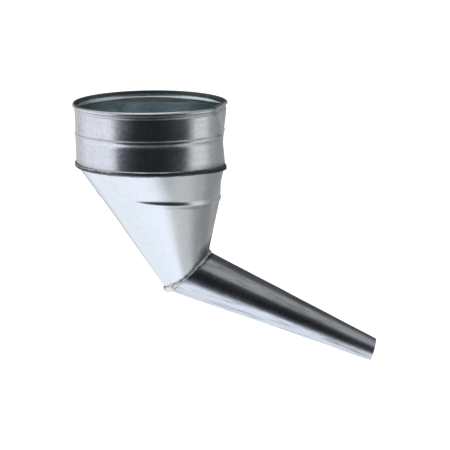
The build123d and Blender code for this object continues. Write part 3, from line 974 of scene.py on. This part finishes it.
# %% Brass gauze
def make_gauze():
    low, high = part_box("strainer_gauze")
    reach = (high.y - low.y) / 2 - 0.4 * mm
    flat = reach - (seat_radius - seat_flat)
    middle = Vector((seat_middle.x, 0, (low.z + high.z) / 2))
    pitch, wire, wave = 2.0 * mm, 0.36 * mm, 0.22 * mm
    count = int(reach / pitch)
    bm = bmesh.new()

    def inside(along, off, turned):
        x, y = (off, along) if turned else (along, off)
        return hypot(x, y) < d_radius(atan2(y, x) - flat_turn, reach, flat, seat_corner)

    def weave(number, turned):
        """One wire, along x or turned along y, from its first to its last crossing inside the D."""
        off = number * pitch
        spots = [k for k in range(-count, count + 1) if inside(k * pitch, off, turned)]
        if len(spots) < 3:
            return
        side = -1 if turned else 1

        def place(share, turn):
            along = (spots[0] + share * (spots[-1] - spots[0])) * pitch
            across = off + wire * cos(turn)
            up = side * wave * cos(pi * (along / pitch + number)) + wire * sin(turn)
            return Vector((across, along, up)) if turned else Vector((along, across, up))

        rolled_tube(bm, place, spots[-1] - spots[0], 4)

    for number in range(-count, count + 1):
        weave(number, False)
        weave(number, True)
    bmesh.ops.recalc_face_normals(bm, faces=bm.faces)
    tilt = Matrix.Rotation(-seat_tilt, 3, "Y")
    bmesh.ops.transform(bm, verts=bm.verts, matrix=Matrix.Translation(middle) @ tilt.to_4x4())
    finish_piece(bm, "woven_gauze", "strainer", [gauze_brass], ["strainer_gauze"])


make_gauze()

# %% [markdown]
# The hoop, the clamp ring, the ears with their rivets and the bent handle are plain rings, plates
# and rods, and their CAD shapes are already right. Such a part keeps its mesh and only gets a
# finish, by assigning to its material slots.

# %% Materials on the frame's own parts
def dress(material, *names):
    """Put a finish on nodes whose CAD shape is already right."""
    for name in names:
        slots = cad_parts[name].data.materials
        for index in range(len(slots)):
            slots[index] = material
    print(material.name, "is on", ", ".join(names))


dress(strainer_brass, "strainer_hoop", "strainer_clamp_ring", "bail_ear_front", "bail_ear_back",
      "ear_rivets")
dress(bail_brass, "strainer_bail", "gauze_support_cross")

# %% [markdown]
# Bright sheet metal shows the room more than itself, so the room is the lighting. It is a plain
# studio: a pale floor, a large soft panel on each side, a soft ceiling and a dark gap in front,
# which draws the dark band that makes polished metal read as metal. The room is a world shader,
# written as panels in azimuth and elevation. On the ramps, 0 and 1 are the back, a quarter is
# the left, a half is the front and three quarters is the right.

# %% Panels of the studio room
wall_panels = [
    (0.00, (0.42, 0.43, 0.45)), (0.05, (0.66, 0.67, 0.70)), (0.11, (0.68, 0.69, 0.72)),
    (0.18, (0.98, 1.01, 1.10)), (0.32, (1.06, 1.09, 1.21)), (0.64, (0.36, 0.38, 0.42)),
    (0.68, (0.84, 0.85, 0.88)), (0.73, (0.86, 0.86, 0.88)), (0.77, (0.42, 0.43, 0.44)),
    (0.84, (0.34, 0.345, 0.355)), (0.92, (0.36, 0.37, 0.38)), (0.96, (0.40, 0.40, 0.41))]
floor_panels = [
    (0.00, (1.05, 1.12, 1.20)), (0.50, (1.20, 1.28, 1.41)), (0.53, (1.10, 1.16, 1.25)),
    (0.58, (0.78, 0.81, 0.83)), (0.68, (0.66, 0.68, 0.70)), (0.72, (0.42, 0.43, 0.44)),
    (0.78, (0.30, 0.30, 0.30)), (0.92, (0.30, 0.30, 0.30)), (1.00, (0.80, 0.80, 0.80))]
ceiling_panels = [
    (0.00, (0.08, 0.085, 0.09)), (0.10, (0.08, 0.085, 0.09)), (0.20, (0.75, 0.76, 0.80)),
    (0.45, (0.60, 0.61, 0.63)), (0.55, (0.45, 0.46, 0.47)), (0.77, (0.42, 0.43, 0.44)),
    (0.83, (0.12, 0.125, 0.13)), (1.00, (0.07, 0.075, 0.08))]
gap_edge = [
    (0.00, 0.00), (0.22, 0.01), (0.31, 0.045), (0.45, 0.115), (0.49, 0.22), (0.56, 0.75), (0.60, 1.0)]
zenith_white = (1.10, 1.11, 1.13, 1)
gap_black = (0.016, 0.019, 0.022, 1)


# %% Studio room
def rising(value, start, end):
    """Nothing at the start, one at the end, and a straight slope between."""
    return ((value - start) / (end - start)).clamp()


def studio_room():
    world = bpy.data.worlds.new("studio_room")
    scene.world = world
    t = Tree(world)
    x, y, z = t.split(t.node("ShaderNodeTexCoord", out=0))
    side = t.node("ShaderNodeMath", x, -1 * y, operation="ARCTAN2") * (1 / pi)
    rise = t.node("ShaderNodeMath", z, operation="ARCSINE") * (2 / pi)
    round_room = side * 0.5 + 0.5
    walls = t.ramp(round_room, wall_panels)
    room = t.mix(rising(rise, -0.02, 0.14), walls, t.ramp(round_room, ceiling_panels))
    room = t.mix(rising(rise, 0.65, 0.75), room, zenith_white)
    room = t.mix(rising(rise, -0.20, -0.36), room, t.ramp(round_room, floor_panels))
    across = side * (180 / 54)
    above = (rise + 0.055) * (90 / 37)
    gap = (across * across + above * above) ** 0.5
    shade = t.ramp(gap * 0.5, [(place, (level, level, level)) for place, level in gap_edge])
    room = t.mix(shade, gap_black, room)
    t.node("ShaderNodeOutputWorld", named={"Surface": t.node("ShaderNodeBackground", room, 1.0)})
    print("the room has", len(t.nodes), "nodes")


studio_room()

# %% [markdown]
# The floor is a large pale disc a little below the object. It glows softly, so that it has no
# shadow edge, and it is hidden from reflections, where the room's own floor panels take over.

# %% Studio floor
def studio_floor():
    bm = bmesh.new()
    bmesh.ops.create_circle(bm, cap_ends=True, radius=30, segments=64)
    bmesh.ops.translate(bm, verts=bm.verts, vec=(0, 0, cad_low.z - 50 * mm))
    mesh = bpy.data.meshes.new("studio_floor")
    bm.to_mesh(mesh)
    bm.free()
    material = bpy.data.materials.new("pale_floor")
    Tree(material).surface(Base_Color=(0.9, 0.9, 0.9, 1), Roughness=0.9, Emission_Color=(1, 1, 1, 1),
                           Emission_Strength=0.8)
    mesh.materials.append(material)
    floor = bpy.data.objects.new("studio_floor", mesh)
    scene.collection.objects.link(floor)
    floor.visible_glossy = False
    print("the floor is at", round(cad_low.z - 50 * mm, 4))


studio_floor()
scene.view_settings.view_transform = "Standard"

# %% [markdown]
# Last, the view layer is brought up to date. The frame's box was printed at the start. The
# rolled edges and the solder are a little fuller than the frame's drawing.

# %% The end
bpy.context.view_layer.update()
